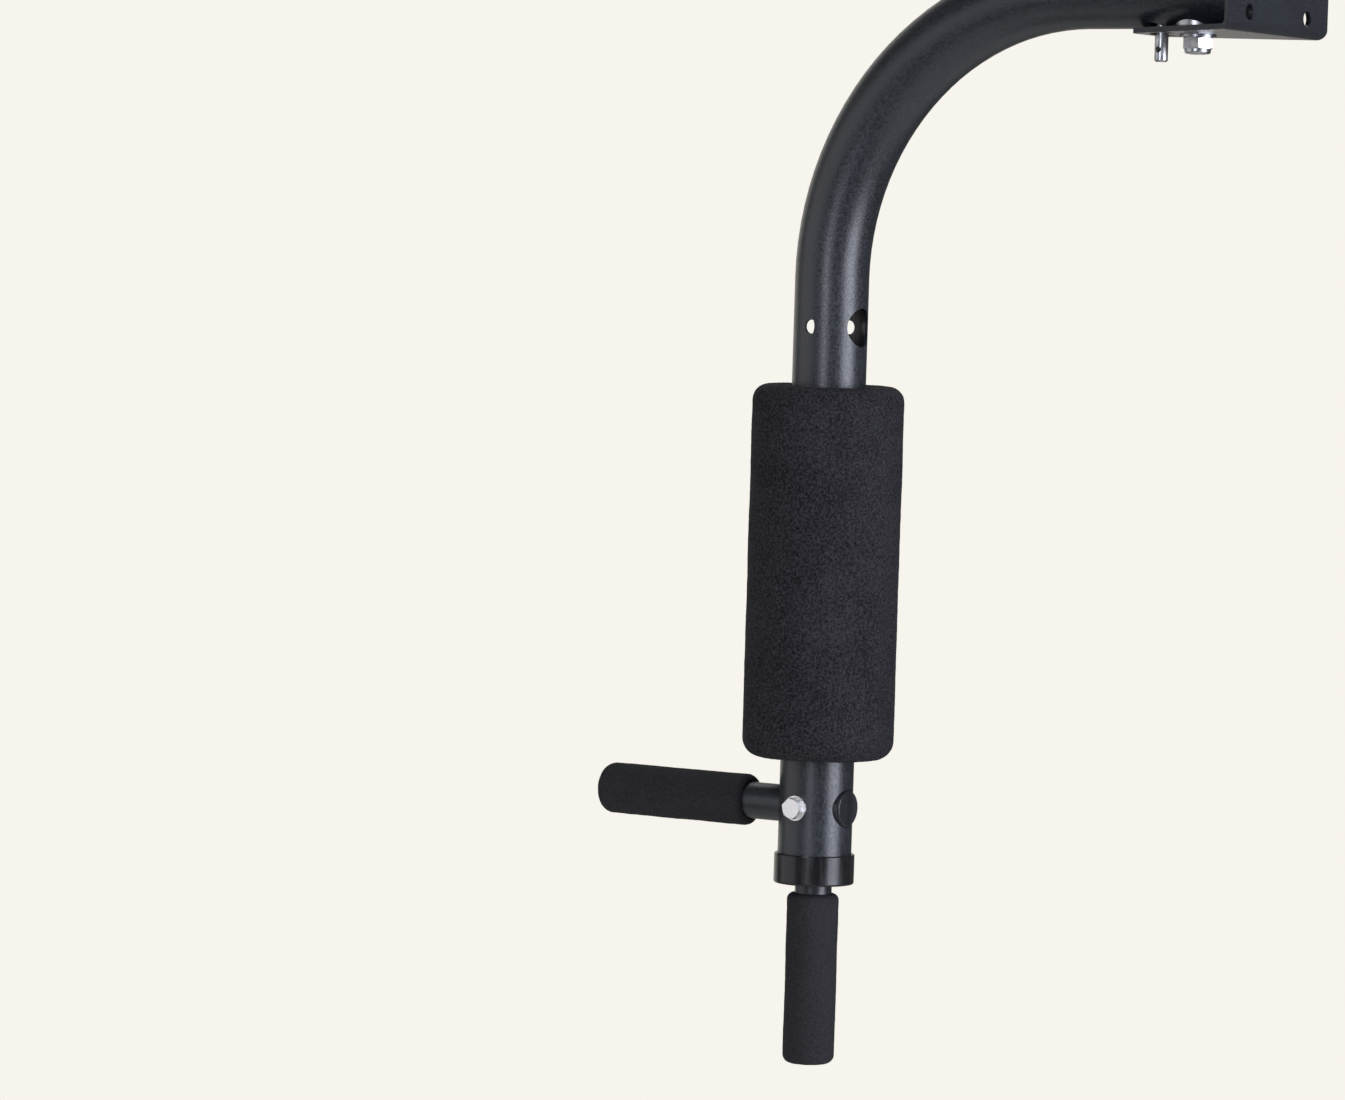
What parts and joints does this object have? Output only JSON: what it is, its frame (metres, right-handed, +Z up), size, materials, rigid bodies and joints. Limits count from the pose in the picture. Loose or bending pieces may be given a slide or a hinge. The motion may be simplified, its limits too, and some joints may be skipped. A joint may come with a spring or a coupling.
{
  "type": "home gym press arm",
  "caption": "Bent steel press arm of a home gym with a foam roller and two foam handles, swinging on a pivot bolt in a folded plate bracket with a lift-out pin.",
  "frame": {"origin": "centre of the pivot bracket's back face, level with the axis of the arm's straight run", "axes": "+Z up, +X out of the bracket's back face towards the gym's frame, so the arm reaches towards -X and hangs down along -Z"},
  "size_m": [0.5086, 0.1384, 0.776],
  "materials": {
    "dark_powder_coat": "satin",
    "plain_steel": "satin",
    "zinc_plated_steel": "satin",
    "bronze": "satin",
    "nylon": "satin",
    "black_plastic": "satin",
    "glossy_plastic": "gloss",
    "roller_foam": "matte",
    "grip_foam": "matte"
  },
  "bodies": {
    "bracket": {"pivot_bracket": "dark_powder_coat", "pivot_bolt": "zinc_plated_steel", "pivot_bolt_washers": "zinc_plated_steel", "pivot_lock_nut": "zinc_plated_steel", "pivot_lock_insert": "nylon", "thrust_washers": "zinc_plated_steel"},
    "arm": {"arm_tube": "dark_powder_coat", "pivot_sleeve": "zinc_plated_steel", "pivot_bushes": "bronze", "tail_plug": "black_plastic", "foam_roller": "roller_foam", "side_handle_tube": "dark_powder_coat", "side_handle_grip": "grip_foam", "side_handle_plug": "black_plastic", "handle_bolt": "zinc_plated_steel", "handle_bolt_washers": "zinc_plated_steel", "handle_lock_nut": "zinc_plated_steel", "handle_lock_insert": "nylon", "end_collar": "glossy_plastic", "lower_handle_tube": "dark_powder_coat", "lower_handle_rings": "plain_steel", "lower_handle_grip": "grip_foam"},
    "pin": {"swing_pin": "zinc_plated_steel"}
  },
  "joints": [
    {"name": "arm_swing", "type": "hinge", "parent": "bracket", "child": "arm", "pos_m": [-0.05868, 0, 0], "axis": [0, 0, 1], "range_deg": [-15, 70]},
    {"name": "pin_lift", "type": "slide", "parent": "arm", "child": "pin", "axis": [0, 0, 1], "range_m": [0, 0.0823]}
  ]
}
